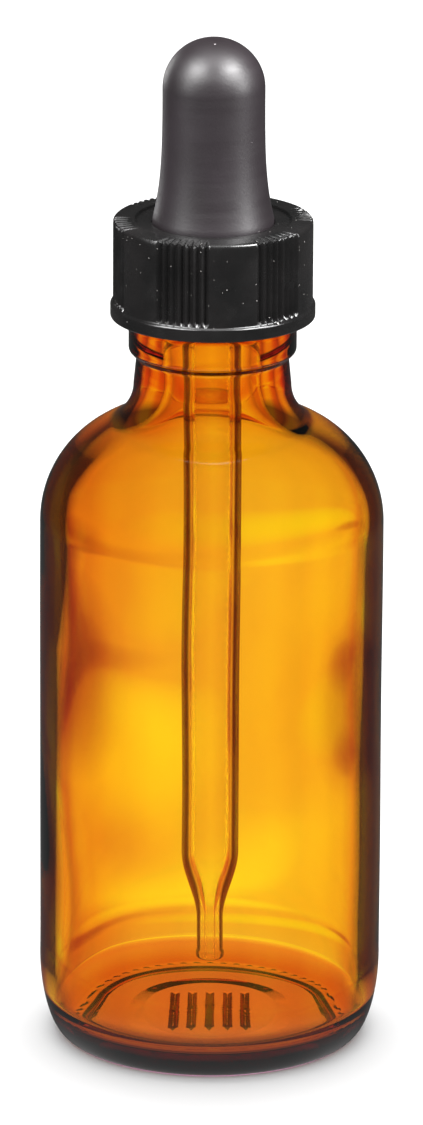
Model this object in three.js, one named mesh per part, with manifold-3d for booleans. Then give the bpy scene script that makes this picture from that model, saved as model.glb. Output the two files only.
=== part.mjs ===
// Boston round dropper bottle, 60 ml: glass bottle with a 20-400 neck finish, ribbed screw cap,
// rubber bulb and glass pipette. Millimetres, +Z up, origin at the centre of the base.
import * as THREE from 'three';
import { mergeVertices } from 'three/addons/utils/BufferGeometryUtils.js';
import Module from 'manifold-3d';

const wasm = await Module();
wasm.setup();

const FULL_TURN = 2 * Math.PI;
const QUARTER_TURN = Math.PI / 2;
const DEGREE = Math.PI / 180;

// Where two pieces meet, this much room is left between them.
const SEAT_GAP = 0.25;

// Bottle body
const BODY_RADIUS = 19.3;
const BODY_WALL = 2.2;
const BASE_RING_RADIUS = 16.56;
const BASE_RING_INNER_RADIUS = 14.0;
const HEEL_HEIGHT = 9.2;
const HEEL_FULLNESS = 1.88; // exponent of the heel's superellipse
const WALL_TOP = 60.3;
const SHOULDER_RADIUS = 12.74;
const NECK_FILLET = 4.8;
const NECK_LOW_RADIUS = 8.82;
const NECK_HIGH_RADIUS = 8.5;
const FLOOR_HEIGHT = 2.6;
const FLOOR_CROWN = 0.25; // how much higher the floor is in the middle
const INNER_HEEL_HEIGHT = 2.6;
const INNER_HEEL_SPREAD = 3.2;
const BOTTLE_SEGMENTS = 48;

// Push-up under the base: radius and height of each step, from the bearing ring inwards
const PUSH_UP_STEPS = [
  [13.1, 0.91],
  [12.5, 1.0],
  [9.2, 1.04],
  [7.4, 1.22],
];
const PUSH_UP_HEIGHT = 1.25;

// Plain raised bars in the middle of the push-up
const BAR_COUNT = 5;
const BAR_WIDTH = 0.8;
const BAR_LENGTH = 8.4;
const BAR_SPACING = 2;
const BAR_HEIGHT = 0.45;

// Neck finish, 20-400
const THREAD_PITCH = 3.175;
const BEAD_RADIUS = 9.38;
const BEAD_BOTTOM = 79.55;
const BEAD_TOP = 83.57;
const BEAD_CHAMFER = 0.8;
const FINISH_ROOT_RADIUS = 8.75;
const FINISH_CREST_RADIUS = 9.8;
const FINISH_TOP = 92.6;
const FINISH_LIP_ROUND = 0.6;
const MOUTH_RADIUS = 5.6;
const MOUTH_CHAMFER = 0.3;
const FINISH_THREAD_TURNS = 1.15;
const FINISH_THREAD_START = 86.95; // height of the thread's middle where it begins
const FINISH_THREAD_ROOT_WIDTH = 2.1;
const FINISH_THREAD_CREST_WIDTH = 0.8;

// Cap
const CAP_BOTTOM = 84.2;
const CAP_TOP = 95.31;
const CAP_RADIUS = 11.16;
const CAP_FLANGE_RADIUS = 11.43;
const CAP_FLANGE_HEIGHT = 1.54;
const CAP_EDGE_ROUND = 0.45;
const CAP_ROOF_UNDERSIDE = 94.0;
const CAP_HOLE_RADIUS = 7.1;
const CAP_RING_WIDTH = 2.4;
const CAP_ANNULUS_RECESS = 0.3;
const CAP_THREAD_ROOT_RADIUS = 10.05;
const CAP_THREAD_CREST_RADIUS = 9.05;
const CAP_THREAD_ROOT_WIDTH = 1.5;
const CAP_THREAD_CREST_WIDTH = 0.6;
const CAP_THREAD_TURNS = 1.1;
const CAP_THREAD_BURIAL = 0.3; // how far a ridge's foot sits inside the wall that carries it
const CAP_SEGMENTS = 60;

// Ribs on the cap: V grooves in groups, with smooth panels between the groups
const RIB_GROUPS = 6;
const RIB_FIRST_GROUP_ANGLE = -18 * DEGREE; // from the front, towards +X
const GROOVES_IN_GROUP = 7;
const GROOVE_SPACING = 4.6 * DEGREE;
const GROOVE_DEPTH = 0.32;
const GROOVE_HALF_WIDTH = 0.36;
const TOP_GROOVE_DEPTH = 0.22;

// Rubber bulb
const BULB_RADIUS = 5.7;
const BULB_FOOT_RADIUS = 6.78;
const BULB_TOP = 115.93;
const BULB_WALL = 1.5;
const BULB_DOME_HEIGHT = 5.6;
const FLARE_HEIGHT = 15.3;
const FLARE_SHARPNESS = 3.6;
const FLANGE_RADIUS = 9.4;
const FLANGE_THICKNESS = 0.9;
const FLANGE_BOTTOM = FINISH_TOP + SEAT_GAP;
const BULB_BORE_RADIUS = 3.5;
const BULB_SEGMENTS = 36;

// Glass pipette
const PIPETTE_RADIUS = 3.25;
const PIPETTE_BORE_RADIUS = 2.65;
const PIPETTE_TOP = 97.0;
const PIPETTE_TIP = 8.4;
const TIP_RADIUS = 1.48;
const TIP_BORE_RADIUS = 0.65;
const TIP_RING_RADIUS = 1.6;
const TIP_RING_HEIGHT = 0.55;
const TIP_STRAIGHT_TOP = 13.3;
const TAPER_TOP = 21.3;
const PIPETTE_SEGMENTS = 24;

// Materials
function amberGlass() {
  return new THREE.MeshStandardMaterial({ name: 'amber_glass', color: 0xc9761a, roughness: 0.05, metalness: 0 });
}

function blackPhenolic() {
  return new THREE.MeshStandardMaterial({ name: 'black_phenolic', color: 0x17171a, roughness: 0.35, metalness: 0 });
}

function blackRubber() {
  return new THREE.MeshStandardMaterial({ name: 'black_rubber', color: 0x2b2b2d, roughness: 0.75, metalness: 0 });
}

function clearGlass() {
  return new THREE.MeshStandardMaterial({ name: 'clear_glass', color: 0xe9efec, roughness: 0.04, metalness: 0 });
}

// Solids
function toSolid(geometry) {
  geometry.deleteAttribute('normal');
  geometry.deleteAttribute('uv');
  const welded = mergeVertices(geometry, 1e-5);
  const corners = welded.index.array;
  const kept = [];
  for (let i = 0; i < corners.length; i += 3) {
    const [a, b, c] = [corners[i], corners[i + 1], corners[i + 2]];
    if (a !== b && b !== c && c !== a) {
      kept.push(a, b, c);
    }
  }
  const mesh = new wasm.Mesh({
    numProp: 3,
    vertProperties: new Float32Array(welded.attributes.position.array),
    triVerts: new Uint32Array(kept),
  });
  return new wasm.Manifold(mesh);
}

function toMesh(solid, name, material) {
  const { vertProperties, triVerts } = solid.getMesh();
  const geometry = new THREE.BufferGeometry();
  geometry.setAttribute('position', new THREE.BufferAttribute(new Float32Array(vertProperties), 3));
  geometry.setIndex(new THREE.BufferAttribute(new Uint32Array(triVerts), 1));
  geometry.computeVertexNormals();
  const mesh = new THREE.Mesh(geometry, material);
  mesh.name = name;
  return mesh;
}

// Turns a [radius, height] profile about the Z axis. Angle 0 is the front, -Y, and angles grow towards +X.
function revolve(profile, segments) {
  const points = profile.map(([radius, height]) => new THREE.Vector2(radius, height));
  return new THREE.LatheGeometry(points, segments).rotateX(QUARTER_TURN);
}

// Points on a circular arc in a profile, from one angle to another, measured from the radius direction.
function arc(centreRadius, centreHeight, radius, fromAngle, toAngle, steps) {
  const points = [];
  for (let i = 0; i <= steps; i += 1) {
    const angle = fromAngle + ((toAngle - fromAngle) * i) / steps;
    points.push([centreRadius + radius * Math.cos(angle), centreHeight + radius * Math.sin(angle)]);
  }
  return points;
}

// A right-hand thread ridge. Both its ends shrink to a point inside the wall that carries it.
function threadRidge({ footRadius, crestRadius, footWidth, crestWidth, startHeight, startAngle, turns }) {
  const stepsPerTurn = 48;
  const fadeTurns = 0.09;
  const steps = Math.round(stepsPerTurn * turns);
  const section = [
    [footRadius, -footWidth / 2],
    [crestRadius, -crestWidth / 2],
    [crestRadius, crestWidth / 2],
    [footRadius, footWidth / 2],
  ];
  if (crestRadius < footRadius) {
    section.reverse();
  }
  section.push(section[0]);
  const points = section.map(([radius, height]) => new THREE.Vector2(radius, height));
  const ridge = new THREE.LatheGeometry(points, steps, startAngle, turns * FULL_TURN).rotateX(QUARTER_TURN);
  const position = ridge.attributes.position;
  for (let step = 0; step <= steps; step += 1) {
    const turned = (turns * step) / steps;
    const fullness = Math.min(1, turned / fadeTurns, (turns - turned) / fadeTurns);
    const angle = startAngle + turned * FULL_TURN;
    section.forEach(([radius, height], corner) => {
      const ridgeRadius = footRadius + (radius - footRadius) * fullness;
      position.setXYZ(
        step * section.length + corner,
        ridgeRadius * Math.sin(angle),
        -ridgeRadius * Math.cos(angle),
        startHeight + height * fullness + THREAD_PITCH * turned,
      );
    });
  }
  return toSolid(ridge);
}

// Bottle
function heelProfile() {
  const steps = 7;
  const points = [];
  for (let i = 0; i <= steps; i += 1) {
    const angle = (QUARTER_TURN * i) / steps;
    const outward = 1 - Math.cos(angle) ** (2 / HEEL_FULLNESS);
    const upward = 1 - Math.sin(angle) ** (2 / HEEL_FULLNESS);
    points.push([
      BODY_RADIUS - (BODY_RADIUS - BASE_RING_RADIUS) * outward,
      HEEL_HEIGHT * upward,
    ]);
  }
  return points.reverse();
}

// The shoulder is a convex arc from the wall, then a smaller concave fillet up into the neck.
function shoulderProfile(wallRadius, convexRadius, filletRadius, neckRadius) {
  const centreRadius = wallRadius - convexRadius;
  const across = neckRadius + filletRadius - centreRadius;
  const meeting = Math.acos(across / (convexRadius + filletRadius));
  const up = (convexRadius + filletRadius) * Math.sin(meeting);
  const filletHeight = WALL_TOP + up;
  return [
    ...arc(centreRadius, WALL_TOP, convexRadius, 0, meeting, 7),
    ...arc(neckRadius + filletRadius, filletHeight, filletRadius, Math.PI + meeting, Math.PI, 4).slice(1),
  ];
}

function innerProfile() {
  const wall = BODY_RADIUS - BODY_WALL;
  const shoulder = shoulderProfile(
    wall,
    SHOULDER_RADIUS - BODY_WALL,
    NECK_FILLET + BODY_WALL,
    MOUTH_RADIUS,
  );
  const heel = [];
  const steps = 5;
  for (let i = 0; i <= steps; i += 1) {
    const angle = (QUARTER_TURN * i) / steps;
    heel.push([
      wall - INNER_HEEL_SPREAD * (1 - Math.cos(angle)),
      FLOOR_HEIGHT + INNER_HEEL_HEIGHT * (1 - Math.sin(angle)),
    ]);
  }
  return [
    [MOUTH_RADIUS + MOUTH_CHAMFER, FINISH_TOP],
    [MOUTH_RADIUS, FINISH_TOP - MOUTH_CHAMFER],
    ...shoulder.reverse(),
    ...heel,
    [0, FLOOR_HEIGHT + FLOOR_CROWN],
  ];
}

function bottleProfile() {
  const pushUp = [...PUSH_UP_STEPS].reverse();
  return [
    [0, PUSH_UP_HEIGHT],
    ...pushUp,
    [BASE_RING_INNER_RADIUS, 0],
    ...heelProfile(),
    ...shoulderProfile(BODY_RADIUS, SHOULDER_RADIUS, NECK_FILLET, NECK_LOW_RADIUS),
    [NECK_HIGH_RADIUS, BEAD_BOTTOM],
    [BEAD_RADIUS - BEAD_CHAMFER / 4, BEAD_BOTTOM + BEAD_CHAMFER / 2],
    [BEAD_RADIUS, BEAD_BOTTOM + BEAD_CHAMFER],
    [BEAD_RADIUS, BEAD_TOP - BEAD_CHAMFER / 2],
    [BEAD_RADIUS - BEAD_CHAMFER / 4, BEAD_TOP],
    [FINISH_ROOT_RADIUS, BEAD_TOP + BEAD_CHAMFER / 2],
    [FINISH_ROOT_RADIUS, FINISH_TOP - FINISH_LIP_ROUND],
    [FINISH_ROOT_RADIUS - FINISH_LIP_ROUND / 3, FINISH_TOP - FINISH_LIP_ROUND / 3],
    [FINISH_ROOT_RADIUS - FINISH_LIP_ROUND, FINISH_TOP],
    ...innerProfile(),
  ];
}

function baseBars() {
  const sunk = 0.4; // how far a bar reaches up into the glass
  const height = BAR_HEIGHT + sunk;
  const bars = [];
  for (let i = 0; i < BAR_COUNT; i += 1) {
    const bar = new THREE.BoxGeometry(BAR_WIDTH, BAR_LENGTH, height);
    bar.translate((i - (BAR_COUNT - 1) / 2) * BAR_SPACING, 0, PUSH_UP_STEPS.at(-1)[1] + sunk - height / 2);
    bars.push(toSolid(bar));
  }
  return bars;
}

function bottle() {
  let solid = toSolid(revolve(bottleProfile(), BOTTLE_SEGMENTS));
  for (const bar of baseBars()) {
    solid = solid.add(bar);
  }
  const thread = threadRidge({
    footRadius: FINISH_ROOT_RADIUS - CAP_THREAD_BURIAL,
    crestRadius: FINISH_CREST_RADIUS,
    footWidth: FINISH_THREAD_ROOT_WIDTH,
    crestWidth: FINISH_THREAD_CREST_WIDTH,
    startHeight: FINISH_THREAD_START,
    startAngle: 0,
    turns: FINISH_THREAD_TURNS,
  });
  return toMesh(solid.add(thread), 'bottle', amberGlass());
}

// Cap
function capProfile() {
  const flangeTop = CAP_BOTTOM + CAP_FLANGE_HEIGHT;
  const ringInner = CAP_RADIUS - CAP_RING_WIDTH;
  const annulus = CAP_TOP - CAP_ANNULUS_RECESS;
  const edge = arc(CAP_RADIUS - CAP_EDGE_ROUND, CAP_TOP - CAP_EDGE_ROUND, CAP_EDGE_ROUND, 0, QUARTER_TURN, 3);
  const profile = [
    [CAP_THREAD_ROOT_RADIUS, CAP_BOTTOM],
    [CAP_FLANGE_RADIUS, CAP_BOTTOM],
    [CAP_FLANGE_RADIUS, flangeTop - 0.2],
    [CAP_FLANGE_RADIUS - 0.2, flangeTop],
    [CAP_RADIUS, flangeTop],
    ...edge,
    [ringInner, CAP_TOP],
    [ringInner - CAP_ANNULUS_RECESS, annulus],
    [CAP_HOLE_RADIUS, annulus],
    [CAP_HOLE_RADIUS, CAP_ROOF_UNDERSIDE],
    [CAP_THREAD_ROOT_RADIUS, CAP_ROOF_UNDERSIDE],
  ];
  profile.push(profile[0]);
  return profile;
}

// A bar of diamond section, one edge of which cuts a V groove.
function grooveCutter(depth, length) {
  const cutter = new THREE.CylinderGeometry(1, 1, length, 4, 1);
  return cutter.scale(GROOVE_HALF_WIDTH, 1, depth);
}

function grooveCutters() {
  const sideLength = CAP_TOP - CAP_BOTTOM - CAP_FLANGE_HEIGHT + 1;
  const sideMiddle = CAP_BOTTOM + CAP_FLANGE_HEIGHT + sideLength / 2;
  const topMiddle = CAP_RADIUS - CAP_RING_WIDTH / 2;
  const cutters = [];
  for (let group = 0; group < RIB_GROUPS; group += 1) {
    for (let i = 0; i < GROOVES_IN_GROUP; i += 1) {
      const offset = (i - (GROOVES_IN_GROUP - 1) / 2) * GROOVE_SPACING;
      const angle = RIB_FIRST_GROUP_ANGLE + (group * FULL_TURN) / RIB_GROUPS + offset;
      const side = grooveCutter(GROOVE_DEPTH, sideLength).rotateX(QUARTER_TURN);
      side.translate(0, -CAP_RADIUS, sideMiddle).rotateZ(angle);
      const top = grooveCutter(TOP_GROOVE_DEPTH, CAP_RING_WIDTH + 1);
      top.translate(0, -topMiddle - 0.5, CAP_TOP).rotateZ(angle);
      cutters.push(toSolid(side), toSolid(top));
    }
  }
  return cutters;
}

function cap() {
  let solid = toSolid(revolve(capProfile(), CAP_SEGMENTS));
  for (const cutter of grooveCutters()) {
    solid = solid.subtract(cutter);
  }
  const lag = 0.06; // turns by which the cap's thread starts after the bottle's
  const thread = threadRidge({
    footRadius: CAP_THREAD_ROOT_RADIUS + CAP_THREAD_BURIAL,
    crestRadius: CAP_THREAD_CREST_RADIUS,
    footWidth: CAP_THREAD_ROOT_WIDTH,
    crestWidth: CAP_THREAD_CREST_WIDTH,
    startHeight: FINISH_THREAD_START + THREAD_PITCH * (lag - 0.5),
    startAngle: lag * FULL_TURN,
    turns: CAP_THREAD_TURNS,
  });
  return toMesh(solid.add(thread), 'cap', blackPhenolic());
}

// Bulb
function bulbRadiusAt(height) {
  const along = Math.min(1, Math.max(0, (height - CAP_TOP) / FLARE_HEIGHT));
  return BULB_RADIUS + (BULB_FOOT_RADIUS - BULB_RADIUS) * (1 - along) ** FLARE_SHARPNESS;
}

function domeProfile(radius, top, domeHeight) {
  const steps = 7;
  const points = [];
  for (let i = 0; i <= steps; i += 1) {
    const angle = (QUARTER_TURN * i) / steps;
    points.push([radius * Math.cos(angle), top - domeHeight * (1 - Math.sin(angle))]);
  }
  points[steps][0] = 0;
  return points;
}

function bulbProfile() {
  const flangeTop = FLANGE_BOTTOM + FLANGE_THICKNESS;
  const innerRadius = BULB_RADIUS - BULB_WALL;
  const innerDome = domeProfile(innerRadius, BULB_TOP - BULB_WALL, BULB_DOME_HEIGHT - BULB_WALL);
  const flare = [];
  const steps = 6;
  for (let i = 0; i <= steps; i += 1) {
    const height = CAP_TOP + (FLARE_HEIGHT * 0.8 * i * i) / (steps * steps);
    flare.push([bulbRadiusAt(height), height]);
  }
  return [
    [0, BULB_TOP - BULB_WALL],
    ...innerDome.reverse().slice(1),
    [innerRadius, PIPETTE_TOP + 1.6],
    [BULB_BORE_RADIUS, PIPETTE_TOP + 0.6],
    [BULB_BORE_RADIUS, FLANGE_BOTTOM],
    [FLANGE_RADIUS, FLANGE_BOTTOM],
    [FLANGE_RADIUS, flangeTop],
    [BULB_FOOT_RADIUS, flangeTop],
    ...flare,
    ...domeProfile(BULB_RADIUS, BULB_TOP, BULB_DOME_HEIGHT),
  ];
}

function bulb() {
  const solid = toSolid(revolve(bulbProfile(), BULB_SEGMENTS));
  return toMesh(solid, 'bulb', blackRubber());
}

// Pipette
function pipetteProfile() {
  const shoulder = 0.35; // how far the melted edge at each end is rounded
  const taperMiddle = (TIP_STRAIGHT_TOP + TAPER_TOP) / 2;
  const middleRadius = (TIP_RADIUS + PIPETTE_RADIUS) / 2;
  const middleBore = (TIP_BORE_RADIUS + PIPETTE_BORE_RADIUS) / 2;
  const profile = [
    [TIP_BORE_RADIUS, PIPETTE_TIP],
    [TIP_RING_RADIUS - shoulder, PIPETTE_TIP],
    [TIP_RING_RADIUS, PIPETTE_TIP + shoulder],
    [TIP_RADIUS, PIPETTE_TIP + TIP_RING_HEIGHT + shoulder],
    [TIP_RADIUS, TIP_STRAIGHT_TOP],
    [middleRadius, taperMiddle],
    [PIPETTE_RADIUS, TAPER_TOP],
    [PIPETTE_RADIUS, PIPETTE_TOP - shoulder],
    [PIPETTE_RADIUS - shoulder, PIPETTE_TOP],
    [PIPETTE_BORE_RADIUS, PIPETTE_TOP],
    [PIPETTE_BORE_RADIUS, TAPER_TOP],
    [middleBore, taperMiddle],
    [TIP_BORE_RADIUS, TIP_STRAIGHT_TOP],
  ];
  profile.push(profile[0]);
  return profile;
}

function pipette() {
  const solid = toSolid(revolve(pipetteProfile(), PIPETTE_SEGMENTS));
  return toMesh(solid, 'pipette', clearGlass());
}

const dropperBottle = new THREE.Group();
dropperBottle.name = 'dropper_bottle';
const dropper = new THREE.Group();
dropper.name = 'dropper';
dropper.add(cap(), bulb(), pipette());
dropperBottle.add(bottle(), dropper);

export default dropperBottle;
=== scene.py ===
"""Looks for the dropper bottle: amber glass, ribbed black cap, black rubber bulb and clear pipette."""
import math

import bmesh
import bpy
import numpy as np
from mathutils import Matrix, Vector

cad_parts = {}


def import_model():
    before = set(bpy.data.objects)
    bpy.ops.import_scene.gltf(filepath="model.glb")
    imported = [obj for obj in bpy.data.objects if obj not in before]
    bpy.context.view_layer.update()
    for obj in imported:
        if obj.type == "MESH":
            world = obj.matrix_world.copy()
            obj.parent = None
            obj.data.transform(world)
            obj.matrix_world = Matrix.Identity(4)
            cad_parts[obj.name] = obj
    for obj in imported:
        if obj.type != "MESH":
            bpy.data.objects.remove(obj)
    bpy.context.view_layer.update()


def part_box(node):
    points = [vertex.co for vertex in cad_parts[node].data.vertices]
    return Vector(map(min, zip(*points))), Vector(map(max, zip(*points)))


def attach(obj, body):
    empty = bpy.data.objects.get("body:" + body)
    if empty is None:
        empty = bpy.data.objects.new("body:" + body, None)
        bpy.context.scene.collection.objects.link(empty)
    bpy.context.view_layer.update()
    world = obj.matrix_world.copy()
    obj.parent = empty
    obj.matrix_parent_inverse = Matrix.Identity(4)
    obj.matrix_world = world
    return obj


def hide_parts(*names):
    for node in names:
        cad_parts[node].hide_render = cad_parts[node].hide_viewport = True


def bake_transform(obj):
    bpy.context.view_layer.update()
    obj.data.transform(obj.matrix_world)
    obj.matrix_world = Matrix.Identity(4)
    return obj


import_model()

MM = 0.001

# Sizes in millimetres. What the frame holds is read from it, and the rest follows part.mjs.


def corners_mm(node):
    low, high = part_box(node)
    return low / MM, high / MM


BOTTLE_HIGH = corners_mm("bottle")[1]
CAP_LOW, CAP_HIGH = corners_mm("cap")
BULB_LOW, BULB_HIGH = corners_mm("bulb")
PIPETTE_LOW, PIPETTE_HIGH = corners_mm("pipette")

BODY_RADIUS = BOTTLE_HIGH.x
FINISH_TOP = BOTTLE_HIGH.z
BODY_WALL = 2.2
BASE_RING_RADIUS = 16.56
BASE_RING_INNER_RADIUS = 14.0
HEEL_HEIGHT = 9.2
HEEL_FULLNESS = 1.88
WALL_TOP = 60.3
SHOULDER_RADIUS = 12.74
NECK_FILLET = 4.8
NECK_LOW_RADIUS = 8.82
NECK_HIGH_RADIUS = 8.5
PUSH_UP_HEIGHT = 1.25
BAR_COUNT = 5
BAR_WIDTH = 0.8
BAR_LENGTH = 8.4
BAR_SPACING = 2.0
BAR_HEIGHT = 0.45
FLOOR_HEIGHT = 2.6
INNER_HEEL_HEIGHT = 2.6
INNER_HEEL_SPREAD = 3.2
FLOOR_CROWN = 0.25
KNURL_COUNT = 60
KNURL_RADIUS = 15.2
KNURL_HALF_WIDTH = 0.7
KNURL_DEPTH = 0.09
BEAD_RADIUS = 9.38
BEAD_BOTTOM = 79.55
BEAD_TOP = 83.57
FINISH_ROOT_RADIUS = 8.75
THREAD_HEIGHT = 1.05
THREAD_PITCH = 3.175
THREAD_WIDTH = 2.1
THREAD_START = 86.95
THREAD_TURNS = 1.15
MOUTH_RADIUS = 5.6

# Slow unevenness of the blown glass: (turns round, length, phase, weight) of each wave
GLASS_WAVES = ((1, 41, 0.4, 1.0), (2, 31, 1.9, 0.8), (3, 37, 3.1, 0.3), (4, 61, 0.7, 0.1))
GLASS_WAVES_TOTAL = 2.6
INNER_WAVE = 0.2
INNER_WAVES_FROM = 4.5
OUTER_WAVE = 0.035
OUTER_WAVES_FROM = 6
OUTER_WAVES_SHIFT = 40
WAVE_FADE = 6

CAP_BOTTOM = CAP_LOW.z
CAP_TOP = CAP_HIGH.z
CAP_FLANGE_RADIUS = CAP_HIGH.x
CAP_RADIUS = 11.16
CAP_FLANGE_TOP = CAP_BOTTOM + 1.54
CAP_BORE_RADIUS = 10.05
CAP_ROOF_UNDERSIDE = 94.0
CAP_HOLE_RADIUS = 6.86  # closer to the bulb than in the CAD, which keeps a running gap
CAP_RING_WIDTH = 2.4
CAP_ANNULUS_RECESS = 0.3
CAP_THREAD_LAG = 0.06
CAP_THREAD_TURNS = 1.1
CAP_THREAD_WIDTH = 1.5
RIB_GROUPS = 6
RIB_FIRST_GROUP = math.radians(-18)
GROOVES_IN_GROUP = 7
GROOVE_SPACING = math.radians(4.6)
GROOVE_DEPTH = 0.42
GROOVE_FOOT = 0.45  # above the flange's top, where a groove starts to run out
GROOVE_RUN_OUT = 0.4

BULB_TOP = BULB_HIGH.z
FLANGE_BOTTOM = BULB_LOW.z
FLANGE_RADIUS = BULB_HIGH.x
FLANGE_THICKNESS = 0.9
BULB_RADIUS = 5.7
BULB_FOOT_RADIUS = 6.78
BULB_WALL = 1.5
BULB_DOME_HEIGHT = 5.6
BULB_BORE_RADIUS = 3.5
FLARE_HEIGHT = 15.3
FLARE_SHARPNESS = 3.6

PIPETTE_RADIUS = PIPETTE_HIGH.x
PIPETTE_TOP = PIPETTE_HIGH.z
PIPETTE_TIP = PIPETTE_LOW.z
PIPETTE_BORE_RADIUS = 2.65
TIP_RADIUS = 1.48
TIP_BORE_RADIUS = 0.65
TIP_RING_RADIUS = 1.6
TIP_STRAIGHT_TOP = 13.3
TAPER_TOP = 21.3


# Profiles: lists of (radius, height), outside first, from the axis round to the axis


def line(start, end, step):
    """Points from start to end, about step apart, without the end itself."""
    length = math.dist(start, end)
    count = max(1, math.ceil(length / step))
    return [
        (start[0] + (end[0] - start[0]) * i / count, start[1] + (end[1] - start[1]) * i / count)
        for i in range(count)
    ]


def arc(centre, radius, from_degrees, to_degrees, count):
    """Points on an arc, both ends included, with angles measured from the radius direction."""
    angles = np.radians(np.linspace(from_degrees, to_degrees, count + 1))
    return [(centre[0] + radius * math.cos(a), centre[1] + radius * math.sin(a)) for a in angles]


def rounded(corners, step, closed=False):
    """A polyline through (radius, height, rounding) corners, each replaced by an arc of that radius."""
    points = []
    count = len(corners)
    for i, (r, z, rounding) in enumerate(corners):
        here = Vector((r, z))
        if not closed and i in (0, count - 1) or rounding <= 0:
            points.append((r, z))
            continue
        before = Vector(corners[i - 1][:2]) - here
        after = Vector(corners[(i + 1) % count][:2]) - here
        angle = before.angle(after)
        reach = min(rounding / math.tan(angle / 2), 0.49 * before.length, 0.49 * after.length)
        start, end = here + before.normalized() * reach, here + after.normalized() * reach
        steps = max(2, round((math.pi - angle) / math.radians(18)))
        for k in range(steps + 1):
            t = k / steps
            point = start * (1 - t) ** 2 + here * 2 * t * (1 - t) + end * t**2
            points.append((point.x, point.y))
    if closed:
        points.append(points[0])
    filled = []
    for start, end in zip(points, points[1:]):
        filled += line(start, end, step)
    return filled if closed else filled + [points[-1]]


def smoothstep(t):
    t = np.clip(t, 0, 1)
    return t * t * (3 - 2 * t)


def heel(steps):
    """The superellipse from the wall down to the bearing ring, read upwards."""
    points = []
    for angle in np.linspace(0, math.pi / 2, steps + 1):
        outward = math.sin(angle) ** (2 / HEEL_FULLNESS)
        upward = 1 - math.cos(angle) ** (2 / HEEL_FULLNESS)
        points.append((BASE_RING_RADIUS + (BODY_RADIUS - BASE_RING_RADIUS) * outward, HEEL_HEIGHT * upward))
    return points


def shoulder(wall_radius, convex_radius, fillet_radius, neck_radius, steps):
    """A convex arc from the wall, then a smaller concave fillet up into the neck."""
    centre = wall_radius - convex_radius
    fillet_centre = neck_radius + fillet_radius
    reach = convex_radius + fillet_radius
    meeting = math.degrees(math.acos((fillet_centre - centre) / reach))
    fillet_height = WALL_TOP + reach * math.sin(math.radians(meeting))
    convex = arc((centre, WALL_TOP), convex_radius, 0, meeting, steps)
    concave = arc((fillet_centre, fillet_height), fillet_radius, 180 + meeting, 180, steps // 2)
    return convex + concave[1:]


def push_up():
    """The underside inside the bearing ring: shallow concentric steps."""
    corners = [
        (0, PUSH_UP_HEIGHT, 0),
        (7.4, PUSH_UP_HEIGHT - 0.03, 0.3),
        (9.2, PUSH_UP_HEIGHT - 0.21, 0.3),
        (12.5, PUSH_UP_HEIGHT - 0.25, 0.2),
        (13.1, PUSH_UP_HEIGHT - 0.34, 0.2),
        (BASE_RING_INNER_RADIUS + 0.2, 0.02, 0.3),
        (BASE_RING_RADIUS, 0, 0),
    ]
    return rounded(corners, 0.2)


def bottle_profile():
    outside = push_up()[:-1] + heel(40)[:-1]
    outside += line((BODY_RADIUS, HEEL_HEIGHT), (BODY_RADIUS, WALL_TOP), 1.0)
    outside += shoulder(BODY_RADIUS, SHOULDER_RADIUS, NECK_FILLET, NECK_LOW_RADIUS, 36)
    neck = [
        (*outside[-1], 0),
        (NECK_HIGH_RADIUS, BEAD_BOTTOM, 0.35),
        (BEAD_RADIUS, BEAD_BOTTOM + 0.75, 0.7),
        (BEAD_RADIUS, BEAD_TOP, 0.6),
        (FINISH_ROOT_RADIUS, BEAD_TOP + 0.4, 0.3),
        (FINISH_ROOT_RADIUS, FINISH_TOP, 0.7),
        (MOUTH_RADIUS, FINISH_TOP, 0.6),
        (MOUTH_RADIUS, FINISH_TOP - 3, 0),
    ]
    outside = outside[:-1] + rounded(neck, 0.16)[:-1]
    wall = BODY_RADIUS - BODY_WALL
    inner_shoulder = shoulder(wall, SHOULDER_RADIUS - BODY_WALL, NECK_FILLET + BODY_WALL, MOUTH_RADIUS, 30)
    inner_shoulder.reverse()
    inside = line((MOUTH_RADIUS, FINISH_TOP - 3), inner_shoulder[0], 0.8) + inner_shoulder[:-1]
    inner_heel = []
    for angle in np.linspace(0, math.pi / 2, 21):
        inward = INNER_HEEL_SPREAD * (1 - math.cos(angle))
        inner_heel.append((wall - inward, FLOOR_HEIGHT + INNER_HEEL_HEIGHT * (1 - math.sin(angle))))
    floor_middle = (0, FLOOR_HEIGHT + FLOOR_CROWN)
    inside += line((wall, WALL_TOP), inner_heel[0], 1.0) + inner_heel[:-1]
    inside += line(inner_heel[-1], floor_middle, 0.5)
    return outside + inside + [floor_middle]


def thread_relief(angles, heights, start_height, turns, width, height, first_angle=0.0):
    """How far a right-hand thread stands out at each height and angle."""
    ridge = np.zeros((len(heights), len(angles)))
    for lap in range(-1, 3):
        turned = (angles - first_angle) / (2 * math.pi) + lap
        inside = (turned >= 0) & (turned <= turns)
        fade = smoothstep(np.minimum(turned, turns - turned) / 0.09) * inside
        middle = start_height + THREAD_PITCH * turned
        across = np.abs(heights[:, None] - middle[None, :]) / (width / 2)
        shape = smoothstep((1 - across) / 0.62) * fade[None, :]
        ridge = np.maximum(ridge, shape * height)
    return ridge


def glass_waves(angles, heights, size):
    """The sum of the waves round and along the wall, in millimetres."""
    waves = np.zeros((len(heights), len(angles)))
    for turns, length, phase, weight in GLASS_WAVES:
        along = heights[:, None] / length * 2 * math.pi + phase
        around = turns * angles[None, :]
        sway = 0.6 * np.sin(angles[None, :] * 2 + phase)
        waves += weight * np.sin(along + around + sway)
    return waves * size / GLASS_WAVES_TOTAL


def faded(heights, low, high):
    """0 at and beyond two heights, and 1 between them, from WAVE_FADE inside each."""
    return smoothstep((heights - low) / WAVE_FADE) * smoothstep((high - heights) / WAVE_FADE)


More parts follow.
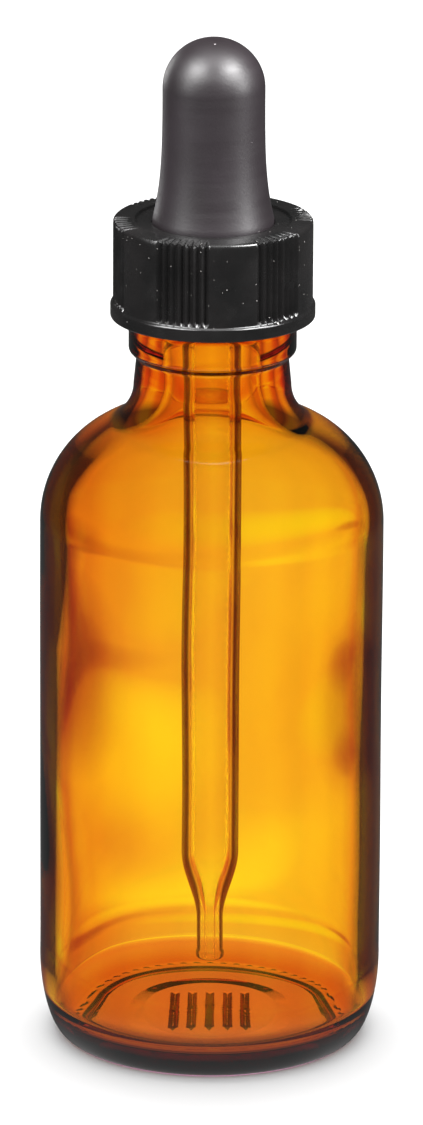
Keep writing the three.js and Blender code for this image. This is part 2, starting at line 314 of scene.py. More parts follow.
def wall_waves(rows, angles, outer):
    """The wall's waves. Inside they go both ways, and outside they only sink in."""
    heights = rows[:, 1]
    inside = faded(heights, INNER_WAVES_FROM, FINISH_TOP - 4) * ~outer
    outside = faded(heights, OUTER_WAVES_FROM, BEAD_BOTTOM - 3) * outer
    depth = 1 + glass_waves(angles, heights + OUTER_WAVES_SHIFT, 1.0)
    sunk = np.minimum(-OUTER_WAVE * depth * outside[:, None], 0)
    return glass_waves(angles, heights, INNER_WAVE) * inside[:, None] + sunk


def base_marks(radii, angles):
    """Under the base: raised bars in the middle and sunk knurling in a ring."""
    x = radii[:, None] * np.sin(angles)[None, :]
    y = -radii[:, None] * np.cos(angles)[None, :]
    end = np.clip((BAR_LENGTH / 2 - np.abs(y)) / (BAR_WIDTH / 2), 0, 1)
    bars = np.zeros_like(x)
    for i in range(BAR_COUNT):
        off = np.abs(x - (i - (BAR_COUNT - 1) / 2) * BAR_SPACING)
        side = np.clip(1 - off / (BAR_WIDTH / 2 + 0.05), 0, 1)
        bars = np.maximum(bars, np.minimum(side, end))
    ring = smoothstep(1 - np.abs(radii - KNURL_RADIUS) / KNURL_HALF_WIDTH)[:, None]
    knurl = smoothstep(np.cos(angles * KNURL_COUNT))[None, :] * ring
    return BAR_HEIGHT * bars - KNURL_DEPTH * knurl


def bottle_relief(rows, angles):
    """Thread, wavy walls, base bars and knurling: how far each point moves outwards from the glass."""
    radii, heights = rows[:, 0], rows[:, 1]
    outer = np.arange(len(rows)) < np.argmax(heights)
    finish = outer & (heights > BEAD_TOP + 0.5) & (radii > FINISH_ROOT_RADIUS - 0.01)
    under = outer & (heights < PUSH_UP_HEIGHT + 0.01) & (radii < BASE_RING_RADIUS)
    thread = thread_relief(angles, heights, THREAD_START, THREAD_TURNS, THREAD_WIDTH, THREAD_HEIGHT)
    relief = thread * finish[:, None] + wall_waves(rows, angles, outer)
    return relief + base_marks(radii, angles) * under[:, None]


def cap_profile():
    """Round the cap's wall and roof once, as a closed loop."""
    ring_inner = CAP_RADIUS - CAP_RING_WIDTH
    annulus = CAP_TOP - CAP_ANNULUS_RECESS
    corners = [
        (CAP_BORE_RADIUS, CAP_BOTTOM, 0.25),
        (CAP_FLANGE_RADIUS, CAP_BOTTOM, 0.2),
        (CAP_FLANGE_RADIUS, CAP_FLANGE_TOP - 0.12, 0.2),
        (CAP_RADIUS, CAP_FLANGE_TOP + 0.1, 0.15),
        (CAP_RADIUS, CAP_TOP, 0.5),
        (ring_inner, CAP_TOP, 0.15),
        (ring_inner - 0.25, annulus, 0.15),
        (CAP_HOLE_RADIUS, annulus, 0.1),
        (CAP_HOLE_RADIUS, CAP_ROOF_UNDERSIDE, 0.1),
        (CAP_BORE_RADIUS, CAP_ROOF_UNDERSIDE, 0.3),
    ]
    return rounded(corners, 0.22, closed=True)


def groove_centres():
    centres = []
    for group in range(RIB_GROUPS):
        for i in range(GROOVES_IN_GROUP):
            offset = (i - (GROOVES_IN_GROUP - 1) / 2) * GROOVE_SPACING
            centres.append(RIB_FIRST_GROUP + group * 2 * math.pi / RIB_GROUPS + offset)
    return np.array(centres)


def cap_angles():
    """Columns round the cap, packed close across the grooves and wide apart between them."""
    group_half = (GROOVES_IN_GROUP / 2 + 0.2) * GROOVE_SPACING
    per_group = np.linspace(-group_half, group_half, GROOVES_IN_GROUP * 12 + 1)
    panel = np.linspace(group_half, 2 * math.pi / RIB_GROUPS - group_half, 14)[1:-1]
    sector = np.concatenate([per_group, panel])
    angles = [sector + RIB_FIRST_GROUP + g * 2 * math.pi / RIB_GROUPS for g in range(RIB_GROUPS)]
    return np.sort(np.concatenate(angles) % (2 * math.pi))


def cap_relief(rows, angles):
    """V grooves down the outside and over the rim, and the thread inside."""
    radii, heights = rows[:, 0], rows[:, 1]
    offsets = angles[:, None] - groove_centres()[None, :]
    nearest = np.abs((offsets + math.pi) % (2 * math.pi) - math.pi).min(1)
    groove = np.clip(1 - nearest / (GROOVE_SPACING / 2), 0, 1)
    side_end = np.clip((CAP_FLANGE_TOP + GROOVE_FOOT - heights) / GROOVE_RUN_OUT, 0, 1)
    side = (radii > CAP_RADIUS - 0.6) & (heights > CAP_FLANGE_TOP - 0.1)
    rim_end = np.clip((CAP_RADIUS - 0.9 - radii) / (CAP_RING_WIDTH - 1.1), 0, 1)
    over_rim = (radii > CAP_RADIUS - CAP_RING_WIDTH + 0.1) & (heights > CAP_TOP - 0.1)
    shallower = np.where(over_rim, 0.25 + 0.75 * rim_end, np.where(side, side_end, 1.0))
    relief = -GROOVE_DEPTH * np.clip(groove[None, :] - shallower[:, None], 0, 1)
    bore = (radii > CAP_BORE_RADIUS - 0.2) & (radii < CAP_BORE_RADIUS + 0.05)
    bore &= (heights > CAP_BOTTOM + 0.2) & (heights < CAP_ROOF_UNDERSIDE - 0.4)
    start = THREAD_START + THREAD_PITCH * (CAP_THREAD_LAG - 0.5)
    first_angle = CAP_THREAD_LAG * 2 * math.pi
    thread = thread_relief(angles, heights, start, CAP_THREAD_TURNS, CAP_THREAD_WIDTH, 1.0, first_angle)
    return relief + thread * bore[:, None]


def bulb_radius(height):
    along = min(1.0, max(0.0, (height - CAP_TOP) / FLARE_HEIGHT))
    return BULB_RADIUS + (BULB_FOOT_RADIUS - BULB_RADIUS) * (1 - along) ** FLARE_SHARPNESS


def dome(radius, top, height, count):
    angles = np.linspace(0, math.pi / 2, count + 1)
    points = [(radius * math.cos(a), top - height * (1 - math.sin(a))) for a in angles]
    points[-1] = (0, top)
    return points


def bulb_profile():
    flange_top = FLANGE_BOTTOM + FLANGE_THICKNESS
    inner_radius = BULB_RADIUS - BULB_WALL
    inner_dome = dome(inner_radius, BULB_TOP - BULB_WALL, BULB_DOME_HEIGHT - BULB_WALL, 12)
    inner_dome.reverse()
    foot = [
        (*inner_dome[-1], 0),
        (inner_radius, PIPETTE_TOP + 1.6, 0.5),
        (BULB_BORE_RADIUS, PIPETTE_TOP + 0.6, 0.5),
        (BULB_BORE_RADIUS, FLANGE_BOTTOM, 0.2),
        (FLANGE_RADIUS, FLANGE_BOTTOM, 0.3),
        (FLANGE_RADIUS, flange_top, 0.3),
        (BULB_FOOT_RADIUS, flange_top, 0.4),
        (BULB_FOOT_RADIUS, CAP_TOP, 0),
    ]
    dome_start = BULB_TOP - BULB_DOME_HEIGHT
    heights = np.linspace(CAP_TOP, dome_start, 40)
    flare = [(bulb_radius(z), z) for z in heights]
    outer_dome = dome(BULB_RADIUS, BULB_TOP, BULB_DOME_HEIGHT, 28)
    return inner_dome[:-1] + rounded(foot, 0.5)[:-1] + flare[:-1] + outer_dome


def pipette_taper(tip_radius, shank_radius):
    """The cone between the straight tip and the shank, read upwards."""
    rise = TAPER_TOP - TIP_STRAIGHT_TOP
    steps = np.linspace(0, 1, 24)
    widening = (shank_radius - tip_radius) * smoothstep(steps)
    return [(float(tip_radius + w), float(TIP_STRAIGHT_TOP + rise * t)) for w, t in zip(widening, steps)]


def pipette_profile():
    tip = [
        (TIP_BORE_RADIUS, PIPETTE_TIP, 0.2),
        (TIP_RING_RADIUS, PIPETTE_TIP, 0.35),
        (TIP_RING_RADIUS, PIPETTE_TIP + 0.75, 0.3),
        (TIP_RADIUS, PIPETTE_TIP + 1.0, 0.3),
        (TIP_RADIUS, TIP_STRAIGHT_TOP, 0),
    ]
    top = [
        (PIPETTE_RADIUS, TAPER_TOP, 0),
        (PIPETTE_RADIUS, PIPETTE_TOP, 0.4),
        (PIPETTE_BORE_RADIUS, PIPETTE_TOP, 0.4),
        (PIPETTE_BORE_RADIUS, TAPER_TOP, 0),
    ]
    bore_taper = pipette_taper(TIP_BORE_RADIUS, PIPETTE_BORE_RADIUS)
    bore_taper.reverse()
    points = rounded(tip, 0.25)[:-1] + pipette_taper(TIP_RADIUS, PIPETTE_RADIUS)[:-1]
    points += rounded(top, 1.0)[:-1] + bore_taper
    points += line(points[-1], points[0], 0.5)[1:]
    return points


# Meshes


def profile_normals(rows, closed):
    """Unit normals of a profile, to the right of its direction of travel."""
    if closed:
        ahead, behind = np.roll(rows, -1, 0), np.roll(rows, 1, 0)
    else:
        ahead = np.vstack([rows[1:], rows[-1:]])
        behind = np.vstack([rows[:1], rows[:-1]])
    along = ahead - behind
    normals = np.stack([along[:, 1], -along[:, 0]], 1)
    return normals / np.maximum(np.linalg.norm(normals, axis=1, keepdims=True), 1e-9)


def evenly(count):
    return np.arange(count) * 2 * math.pi / count


def revolve(name, profile, angles, relief=None, closed=False, sharp_degrees=50):
    """A closed mesh from a profile turned about Z, with relief standing out along its normals."""
    rows = np.array(profile, float)
    normals = profile_normals(rows, closed)
    offset = relief(rows, angles) if relief else np.zeros((len(rows), len(angles)))
    radius = rows[:, 0, None] + normals[:, 0, None] * offset
    height = rows[:, 1, None] + normals[:, 1, None] * offset
    bm = bmesh.new()
    rings = []
    for i in range(len(rows)):
        if rows[i, 0] < 1e-6:
            rings.append([bm.verts.new((0, 0, height[i].mean() * MM))])
            continue
        ring = []
        for r, z, a in zip(radius[i], height[i], angles):
            ring.append(bm.verts.new((r * math.sin(a) * MM, -r * math.cos(a) * MM, z * MM)))
        rings.append(ring)
    pairs = list(zip(rings, rings[1:])) + ([(rings[-1], rings[0])] if closed else [])
    columns = len(angles)
    for lower, upper in pairs:
        for j in range(columns):
            k = (j + 1) % columns
            if len(lower) == 1:
                bm.faces.new((lower[0], upper[k], upper[j]))
            elif len(upper) == 1:
                bm.faces.new((lower[j], lower[k], upper[0]))
            else:
                bm.faces.new((lower[j], lower[k], upper[k], upper[j]))
    bmesh.ops.recalc_face_normals(bm, faces=bm.faces)
    for face in bm.faces:
        face.smooth = True
    for edge in bm.edges:
        edge.smooth = edge.calc_face_angle(0) < math.radians(sharp_degrees)
    mesh = bpy.data.meshes.new(name)
    bm.to_mesh(mesh)
    bm.free()
    piece = bpy.data.objects.new(name, mesh)
    bpy.context.scene.collection.objects.link(piece)
    return piece


# Materials

WHITE = (1, 1, 1)
BLACK = (0, 0, 0)


def grey(value):
    return (value, value, value)


class Nodes:
    """A short way to build a node tree."""

    def __init__(self, tree, coordinates="Object"):
        self.tree = tree
        self.tree.nodes.clear()
        self.place = self.add("ShaderNodeTexCoord").outputs[coordinates]

    def add(self, kind, **settings):
        node = self.tree.nodes.new(kind)
        for key, value in settings.items():
            setattr(node, key, value)
        return node

    def link(self, source, target):
        self.tree.links.new(source, target)

    def math(self, operation, *values):
        node = self.add("ShaderNodeMath", operation=operation)
        for socket, value in zip(node.inputs, values):
            if isinstance(value, (int, float)):
                socket.default_value = value
            else:
                self.link(value, socket)
        return node.outputs[0]

    def facing_out(self):
        """1 where the surface is upright and faces away from the axis, 0 where it is level or faces in."""
        coordinates = self.add("ShaderNodeTexCoord")
        flat = self.add("ShaderNodeVectorMath", operation="MULTIPLY")
        self.link(coordinates.outputs["Object"], flat.inputs[0])
        flat.inputs[1].default_value = (1, 1, 0)
        outwards = self.add("ShaderNodeVectorMath", operation="NORMALIZE")
        self.link(flat.outputs["Vector"], outwards.inputs[0])
        dot = self.add("ShaderNodeVectorMath", operation="DOT_PRODUCT")
        self.link(outwards.outputs["Vector"], dot.inputs[0])
        self.link(coordinates.outputs["Normal"], dot.inputs[1])
        return self.ramp(dot.outputs["Value"], [(0.30, BLACK), (0.70, WHITE)])

    def grazing(self):
        """0 where the surface is seen face on, rising to 1 where it is seen edge on."""
        return self.add("ShaderNodeLayerWeight").outputs["Facing"]

    def noise(self, scale, detail, stretch=(1, 1, 1)):
        """A noise value over the piece, with scale in cycles a metre."""
        mapping = self.add("ShaderNodeMapping")
        mapping.inputs["Scale"].default_value = stretch
        self.link(self.place, mapping.inputs["Vector"])
        noise = self.add("ShaderNodeTexNoise")
        noise.inputs["Scale"].default_value = scale
        noise.inputs["Detail"].default_value = detail
        self.link(mapping.outputs["Vector"], noise.inputs["Vector"])
        return noise.outputs["Fac"]

    def ramp(self, value, stops):
        """A colour or grey from a value, through (position, colour) stops."""
        ramp = self.add("ShaderNodeValToRGB")
        elements = ramp.color_ramp.elements
        while len(elements) < len(stops):
            elements.new(0.5)
        for element, (position, colour) in zip(elements, stops):
            element.position = position
            element.color = (*colour, 1)
        self.link(value, ramp.inputs["Fac"])
        return ramp.outputs["Color"]

    def specks(self, scale, size, share, stretch=(1, 1, 1)):
        """1 on scattered specks and 0 elsewhere. Scale is in cells a metre, and size in cells."""
        mapping = self.add("ShaderNodeMapping")
        mapping.inputs["Scale"].default_value = stretch
        self.link(self.place, mapping.inputs["Vector"])
        cells = self.add("ShaderNodeTexVoronoi")
        cells.inputs["Scale"].default_value = scale
        self.link(mapping.outputs["Vector"], cells.inputs["Vector"])
        separate = self.add("ShaderNodeSeparateColor")
        self.link(cells.outputs["Color"], separate.inputs["Color"])
        chosen = self.math("LESS_THAN", separate.outputs[0], share)
        reach = self.math("MULTIPLY", separate.outputs[1], size)
        near = self.math("LESS_THAN", cells.outputs["Distance"], reach)
        return self.math("MULTIPLY", near, chosen)

    def mix_colour(self, factor, a, b, blend="MIX"):
        mix = self.add("ShaderNodeMix", data_type="RGBA", blend_type=blend)
        if factor is None:
            mix.inputs["Factor"].default_value = 1
        else:
            self.link(factor, mix.inputs["Factor"])
        for value, socket in ((a, mix.inputs[6]), (b, mix.inputs[7])):
            if isinstance(value, tuple):
                socket.default_value = (*value, 1)
            else:
                self.link(value, socket)
        return mix.outputs[2]

    def multiply(self, a, b):
        return self.mix_colour(None, a, b, blend="MULTIPLY")

    def spot(self, across, along, place, reach):
        """1 at a place and 0 beyond its reach, softly."""
        parts = []
        for value, middle, size in zip((across, along), place, reach):
            offset = self.math("DIVIDE", self.math("SUBTRACT", value, middle), size)
            parts.append(self.math("MULTIPLY", offset, offset))
        distance = self.math("ADD", *parts)
        return self.ramp(distance, [(0.0, WHITE), (0.35, grey(0.7)), (1.0, BLACK)])

    def bump(self, value, height):
        bump = self.add("ShaderNodeBump")
        bump.inputs["Strength"].default_value = 1
        bump.inputs["Distance"].default_value = height
        self.link(value, bump.inputs["Height"])
        self.link(bump.outputs["Normal"], self.shader.inputs["Normal"])


class Material(Nodes):
    """A material with one Principled shader."""

    def __init__(self, name):
        self.material = bpy.data.materials.new(name)
        self.material.use_nodes = True
        super().__init__(self.material.node_tree)
        self.output = self.add("ShaderNodeOutputMaterial")
        self.shader = self.add("ShaderNodeBsdfPrincipled")
        self.link(self.shader.outputs["BSDF"], self.output.inputs["Surface"])


# A painted dark band on the left shoulder, across and up: place, reach, and how much nearer to grazing it
# acts
PAINTED_SHADE_SHOULDER = ((-16.5 * MM, 64 * MM), (9 * MM, 16 * MM), 0.12)
# Painted shade in dark patches on the left and right, the same way, with what each lets through
PAINTED_SHADE_PATCHES = (
    ((-15.5 * MM, 46 * MM), (7 * MM, 13 * MM), (0.52, 0.27, 1.0)),
    ((16.0 * MM, 42 * MM), (5 * MM, 11 * MM), (0.66, 0.44, 1.0)),
)
# Painted shade on the outer skin round the foot: what it lets through, by height as a share of the heel's
PAINTED_FOOT_SHADE = (
    (0.00, (0.0002, 0.0003, 0.0004)),
    (0.24, (0.0002, 0.0003, 0.0004)),
    (0.33, grey(0.05)),
    (0.46, grey(0.17)),
    (0.53, grey(0.40)),
    (0.62, WHITE),
)


def glass(name, tint, tint_depth, ior):
    """The nodes of a smooth glass that leaves the tint of white light after the tint's depth."""
    nodes = Material(name)
    shader = nodes.shader
    shader.inputs["Transmission Weight"].default_value = 1
    shader.inputs["IOR"].default_value = ior
    volume = nodes.add("ShaderNodeVolumeAbsorption")
    strongest = max(-math.log(channel) / tint_depth for channel in tint)
    shares = [-math.log(channel) / tint_depth / strongest for channel in tint]
    volume.inputs["Color"].default_value = (*[1 - share for share in shares], 1)
    volume.inputs["Density"].default_value = strongest
    nodes.link(volume.outputs["Volume"], nodes.output.inputs["Volume"])
    rough = nodes.ramp(nodes.noise(260, 2), [(0.35, grey(0.0)), (0.75, grey(0.03))])
    nodes.link(rough, shader.inputs["Roughness"])
    nodes.bump(nodes.noise(70, 1, stretch=(1, 1, 0.5)), 0.000008)
    return nodes


def finish_glass(nodes, tone, outer):
    """The tone, which carries the painted shade, goes on the outer skin alone."""
    nodes.link(nodes.mix_colour(outer, WHITE, tone), nodes.shader.inputs["Base Color"])
    return nodes.material


def amber_glass():
    """Blown amber glass, with painted shade: dark outlines where it is seen edge on, dark patches on the
    sides and a dark foot.
    """
    nodes = glass("amber_glass", tint=(0.86, 0.44, 0.012), tint_depth=4.4 * MM, ior=1.52)
    # Painted shade: near black, in streaks, where the outer skin is seen edge on
    painted_edge_shade = (0.014, 0.009, 0.007)
    position = nodes.add("ShaderNodeSeparateXYZ")
    nodes.link(nodes.place, position.inputs[0])
    across, up = position.outputs[0], position.outputs[2]

    grazing = nodes.grazing()
    streaks = nodes.math("SUBTRACT", nodes.noise(150, 2, stretch=(1, 1, 0.12)), 0.5)
    skin = nodes.math("MULTIPLY_ADD", streaks, 0.22, grazing)
    # Painted shade: a dark band down the left shoulder, added to the edge shade
    place, reach, amount = PAINTED_SHADE_SHOULDER
    skin = nodes.math("MULTIPLY_ADD", nodes.spot(across, up, place, reach), amount, skin)
    tone = nodes.ramp(skin, [(0.49, WHITE), (0.58, painted_edge_shade), (1.0, painted_edge_shade)])

    slanting = nodes.ramp(grazing, [(0.06, BLACK), (0.28, WHITE)])
    # Painted shade: darker patches halfway up the left and right sides, where the glass is seen at a slant
    for place, reach, shade in PAINTED_SHADE_PATCHES:
        near = nodes.math("MULTIPLY", nodes.spot(across, up, place, reach), slanting)
        tone = nodes.multiply(tone, nodes.mix_colour(near, WHITE, shade))

    # Painted shade round the heel: near black low on the foot, taking over from the edge shade
    rise = nodes.math("DIVIDE", up, HEEL_HEIGHT * MM)
    above_foot = nodes.ramp(rise, [(0.4, BLACK), (0.95, WHITE)])
    tone = nodes.mix_colour(above_foot, WHITE, tone)
    tone = nodes.multiply(tone, nodes.ramp(rise, PAINTED_FOOT_SHADE))
    return finish_glass(nodes, tone, nodes.facing_out())


def clear_glass():
    """Clear glass that lets light straight through, unbent, except near its edges, which are darkened by
    painted shade.
    """
    nodes = glass("clear_glass", tint=(0.93, 0.96, 0.94), tint_depth=6 * MM, ior=1.50)
    painted_edge_shade = (0.036, 0.008, 0.007)
    least_solid = 0.12
    grazing = nodes.grazing()
    outer = nodes.facing_out()
    edge = nodes.math("MULTIPLY", nodes.ramp(grazing, [(0.31, BLACK), (0.37, WHITE)]), outer)
    solid = nodes.math("MULTIPLY_ADD", edge, 1 - least_solid, least_solid)
    nodes.link(solid, nodes.shader.inputs["Alpha"])
    # Painted shade: dark red-brown where the outer skin is seen edge on
    tone = nodes.ramp(grazing, [(0.33, WHITE), (0.41, painted_edge_shade), (1.0, painted_edge_shade)])
    return finish_glass(nodes, tone, outer)


def phenolic():
    """Hard black moulding: semi-gloss, with faint scratches and dust."""
    nodes = Material("black_phenolic")
    shader = nodes.shader
    clouds = nodes.ramp(nodes.noise(180, 4), [(0.3, grey(0.003)), (0.75, (0.006, 0.0055, 0.0055))])
    dust = nodes.specks(2100, 0.14, 0.25)
    lint = nodes.specks(700, 0.09, 0.12, stretch=(1, 1, 0.35))
    marks = nodes.math("MAXIMUM", dust, lint)
    colour = nodes.mix_colour(marks, clouds, (0.22, 0.21, 0.20))
    nodes.link(colour, shader.inputs["Base Color"])
    rough = nodes.ramp(nodes.noise(420, 5), [(0.3, grey(0.14)), (0.75, grey(0.32))])
    nodes.link(rough, shader.inputs["Roughness"])
    nodes.bump(nodes.noise(2400, 4), 0.00002)
    return nodes.material


def rubber():
    """Matte black rubber with a fine grain and a little dust."""
    nodes = Material("black_rubber")
    shader = nodes.shader
    clouds = nodes.ramp(nodes.noise(150, 4), [(0.3, (0.006, 0.004, 0.005)), (0.75, (0.011, 0.008, 0.010))])
    dust = nodes.specks(1200, 0.13, 0.14)
    lint = nodes.specks(500, 0.07, 0.10, stretch=(1, 1, 0.4))
    marks = nodes.math("MAXIMUM", dust, lint)
    colour = nodes.mix_colour(marks, clouds, (0.16, 0.15, 0.15))
    nodes.link(colour, shader.inputs["Base Color"])
    rough = nodes.ramp(nodes.noise(110, 6, stretch=(1, 1, 14)), [(0.3, grey(0.42)), (0.7, grey(0.475))])
    nodes.link(rough, shader.inputs["Roughness"])
    nodes.bump(nodes.noise(3200, 3), 0.000012)
    return nodes.material


def white_floor():
    nodes = Material("white_floor")
    tone = nodes.ramp(nodes.noise(3, 2), [(0.3, grey(0.86)), (0.7, grey(0.88))])
    nodes.link(tone, nodes.shader.inputs["Base Color"])
    nodes.shader.inputs["Roughness"].default_value = 0.6
    return nodes.material


# The object


def show(piece, material, node):
    piece.data.materials.append(material)
    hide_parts(node)
    return piece


def build_object():
    bottle = revolve("amber_bottle", bottle_profile(), evenly(240), bottle_relief)
    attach(show(bottle, amber_glass(), "bottle"), "bottle")

    cap = revolve("ribbed_cap", cap_profile(), cap_angles(), cap_relief, closed=True, sharp_degrees=35)
    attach(show(cap, phenolic(), "cap"), "cap")

    pipette = revolve("glass_pipette", pipette_profile(), evenly(64), closed=True)
    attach(show(pipette, clear_glass(), "pipette"), "dropper")

    bulb = revolve("rubber_bulb", bulb_profile(), evenly(128))
    show(bulb, rubber(), "bulb")
    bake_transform(bulb)


# The studio

NECK_HEIGHT = 90


def floor():
    bm = bmesh.new()
    size, drop = 4.0, -0.00005
    grid = bmesh.ops.create_grid(bm, x_segments=8, y_segments=8, size=size)
    bmesh.ops.translate(bm, verts=grid["verts"], vec=(0, 0, drop))
    mesh = bpy.data.meshes.new("floor")
    bm.to_mesh(mesh)
    bm.free()
    plane = bpy.data.objects.new("floor", mesh)
    bpy.context.scene.collection.objects.link(plane)
    plane.data.materials.append(white_floor())
    plane.visible_transmission = False
    plane.visible_glossy = False


LANES = 8


def across_lane(nodes):
    """Where a ray lies in its lane, from 0 at the left edge to 1 at the right, and the ray's slope."""
    separate = nodes.add("ShaderNodeSeparateXYZ")
    nodes.link(nodes.place, separate.inputs[0])
    bearing = nodes.math("ARCTAN2", separate.outputs[0], separate.outputs[1])
    lanes = nodes.math("MULTIPLY_ADD", bearing, LANES / (2 * math.pi), LANES + 0.5)
    return nodes.math("FRACT", lanes), separate.outputs[2]


# Soft uneven patches of the backdrop: place (share of the lane's width, slope), reach, and colour
LIGHTBOX_PATCHES = (
    ((0.11, -0.307), (0.27, 0.018), (0.64, 0.42, 0.9)),
    ((0.27, -0.3130), (0.22, 0.009), (0.80, 0.62, 0.9)),
    ((0.83, -0.3125), (0.15, 0.010), (0.66, 0.42, 0.9)),
    ((0.66, -0.296), (0.26, 0.018), (1.05, 1.45, 0.6)),
    ((0.28, -0.334), (0.34, 0.016), (1.15, 1.60, 0.9)),
)


def lightbox_tone(nodes):
    """The backdrop's tone at each bearing, the same in eight lanes round the bottle.

    Each lane is white in the middle, fades slowly and warmly to its left and quickly to its right."""
    across, slope = across_lane(nodes)
    side = nodes.ramp(
        across,
        [
            (0.00, (0.60, 0.28, 0.40)),
            (0.12, (0.82, 0.31, 0.60)),
            (0.30, (0.98, 0.46, 0.60)),
            (0.42, (1.12, 0.78, 0.90)),
            (0.52, (1.20, 1.06, 1.00)),
            (0.76, (1.20, 1.06, 1.00)),
            (0.90, (1.00, 0.60, 0.80)),
            (1.00, (0.60, 0.28, 0.40)),
        ],
    )
    lower = nodes.ramp(
        nodes.math("MULTIPLY_ADD", slope, -5.0, -1.35),
        [
            (0.00, grey(0.94)),
            (0.15, (1.00, 0.97, 1.00)),
            (0.25, WHITE),
            (0.34, (1.06, 1.25, 1.00)),
            (0.60, (1.00, 0.78, 0.90)),
            (0.95, (0.90, 0.50, 0.80)),
        ],
    )
    upper = nodes.ramp(
        nodes.math("MULTIPLY_ADD", slope, 2.0, 0.5),
        [(0.5, WHITE), (0.75, grey(0.6)), (1.0, grey(0.2))],
    )
    tone = nodes.multiply(nodes.multiply(side, lower), upper)
    for place, reach, shade in LIGHTBOX_PATCHES:
        tone = nodes.mix_colour(nodes.spot(across, slope, place, reach), tone, nodes.multiply(tone, shade))
    return tone


def disc(name, radius, height):
    """A flat disc on the floor under the bottle, part of the stage."""
    mesh = bpy.data.meshes.new(name)
    angles = np.linspace(0, 2 * math.pi, 64, endpoint=False)
    outline = [(radius * math.cos(angle), radius * math.sin(angle), height) for angle in angles]
    mesh.from_pydata(outline, [], [range(len(outline))])
    card = bpy.data.objects.new(name, mesh)
    bpy.context.scene.collection.objects.link(card)
    return card


GLOW_RADIUS = 27


def under_glow():
    """The dim light that comes up through the base: a glowing disc seen only through glass."""
    card = disc("under_glow", GLOW_RADIUS * MM, 0.00001)
    material = bpy.data.materials.new("under_glow")
    material.use_nodes = True
    nodes = Nodes(material.node_tree)
    glow = nodes.add("ShaderNodeEmission")
    distance = nodes.add("ShaderNodeVectorMath", operation="LENGTH")
    nodes.link(nodes.place, distance.inputs[0])
    spread = nodes.math("DIVIDE", distance.outputs["Value"], GLOW_RADIUS * MM)
    tone = nodes.ramp(
        spread,
        [
            (0.00, (1.10, 0.38, 0.90)),
            (0.40, (1.00, 0.34, 0.80)),
            (0.65, (0.95, 0.36, 0.70)),
            (1.00, (1.00, 0.60, 0.70)),
        ],
    )
    nodes.link(tone, glow.inputs["Color"])
    fade = nodes.ramp(spread, [(0.65, WHITE), (1.0, BLACK)])
    seen = nodes.add("ShaderNodeMixShader")
    nodes.link(fade, seen.inputs["Fac"])
    nodes.link(nodes.add("ShaderNodeBsdfTransparent").outputs[0], seen.inputs[1])
    nodes.link(glow.outputs[0], seen.inputs[2])
    nodes.link(seen.outputs[0], nodes.add("ShaderNodeOutputMaterial").inputs["Surface"])
    card.data.materials.append(material)
    card.visible_camera = False
    card.visible_diffuse = False
    card.visible_glossy = False
    card.visible_shadow = False


def world():
    """White to the eye, brighter on the floor, dim in reflections, and the lightbox seen through glass."""
    sky = bpy.data.worlds.new("studio")
    sky.use_nodes = True
    nodes = Nodes(sky.node_tree, "Generated")
    rays = nodes.add("ShaderNodeLightPath")
    slope = across_lane(nodes)[1]
    height = nodes.math("MULTIPLY_ADD", slope, 0.5, 0.5)
    mirrored = nodes.ramp(
        height, [(0.0, grey(0.6)), (0.15, grey(0.5)), (0.27, grey(0.12)), (0.42, grey(0.05))]
    )
    seen = nodes.mix_colour(rays.outputs["Is Camera Ray"], grey(1.35), WHITE)
    seen = nodes.mix_colour(rays.outputs["Is Glossy Ray"], seen, mirrored)
    seen = nodes.mix_colour(rays.outputs["Is Transmission Ray"], seen, lightbox_tone(nodes))
    background = nodes.add("ShaderNodeBackground")
    nodes.link(seen, background.inputs["Color"])
    nodes.link(background.outputs[0], nodes.add("ShaderNodeOutputWorld").inputs["Surface"])
    bpy.context.scene.world = sky


def light_only(light, pieces):
    """The light falls on these pieces alone."""
    group = bpy.data.collections.new(light.name + "_reach")
    for piece in pieces:
        group.objects.link(piece)
    light.light_linking.receiver_collection = group


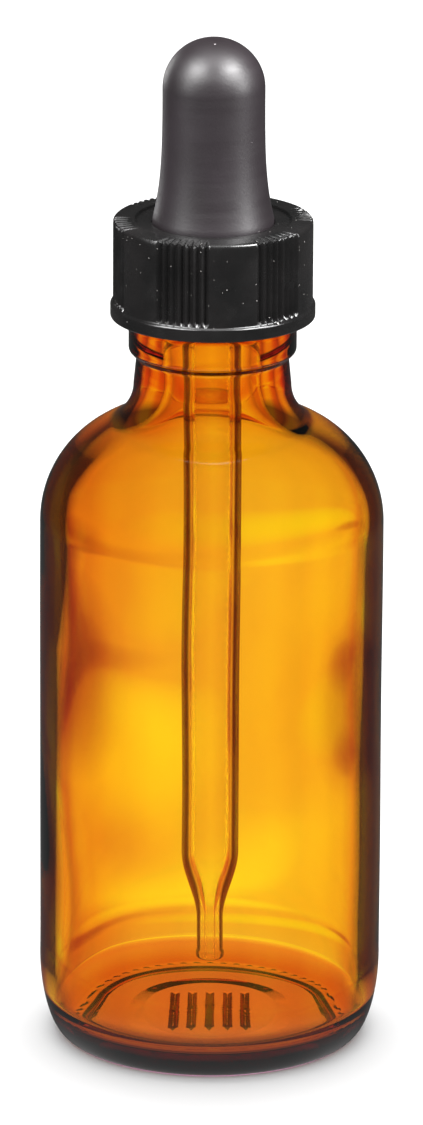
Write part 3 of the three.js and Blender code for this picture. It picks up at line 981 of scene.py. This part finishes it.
def camera():
    distance, height, pitch_down, roll = 0.9589, 0.3619, 17.735, 0.30
    lens = bpy.data.cameras.new("camera")
    lens.sensor_fit = "VERTICAL"
    lens.sensor_height = 36
    lens.lens = 286.9
    lens.clip_start = 0.05
    view = bpy.data.objects.new("camera", lens)
    tilt = Matrix.Rotation(math.radians(90 - pitch_down), 4, "X")
    twist = Matrix.Rotation(math.radians(roll), 4, "Z")
    view.matrix_world = Matrix.Translation((0, -distance, height)) @ tilt @ twist
    bpy.context.scene.collection.objects.link(view)
    bpy.context.scene.camera = view


def softbox(name, bearing, elevation, distance, width, tall, power):
    """An area light turned to the bottle's neck, at a bearing from the front and an elevation."""
    turn, rise = math.radians(bearing), math.radians(elevation)
    neck = Vector((0, 0, NECK_HEIGHT * MM))
    across, up = math.cos(rise), math.sin(rise)
    away = Vector((math.sin(turn) * across, -math.cos(turn) * across, up))
    lamp = bpy.data.lights.new(name, "AREA")
    lamp.shape = "RECTANGLE"
    lamp.size, lamp.size_y = width, tall
    lamp.energy = power
    light = bpy.data.objects.new(name, lamp)
    light.location = neck + away * distance
    light.rotation_euler = (-away).to_track_quat("-Z", "Y").to_euler()
    light.visible_transmission = False
    bpy.context.scene.collection.objects.link(light)
    return light


def studio():
    world()
    floor()
    under_glow()
    cap, bulb = bpy.data.objects["ribbed_cap"], bpy.data.objects["rubber_bulb"]
    light_only(softbox("key_left", -55, 47, 0.75, 0.42, 0.42, 16.0), [cap, bulb])
    light_only(softbox("key_right", 60, 47, 0.75, 0.42, 0.42, 22.0), [cap, bulb])
    light_only(softbox("sheen_left", -62, 14, 0.8, 0.25, 0.40, 2.4), [cap, bulb])
    light_only(softbox("sheen_right", 70, 14, 0.8, 0.30, 0.40, 6.0), [cap, bulb])
    light_only(softbox("rim_left", -146, 2, 0.8, 0.20, 0.30, 1.2), [bulb])
    light_only(softbox("top_sheen", 0, 84, 0.8, 0.55, 0.40, 2.5), [cap, bulb])
    softbox("overhead", 180, 76, 1.1, 0.9, 0.9, 9.0).visible_glossy = False
    camera()
    scene = bpy.context.scene
    scene.view_settings.view_transform = "Standard"
    scene.cycles.max_bounces = 24
    scene.cycles.transmission_bounces = 24
    scene.cycles.use_denoising = True


build_object()
studio()
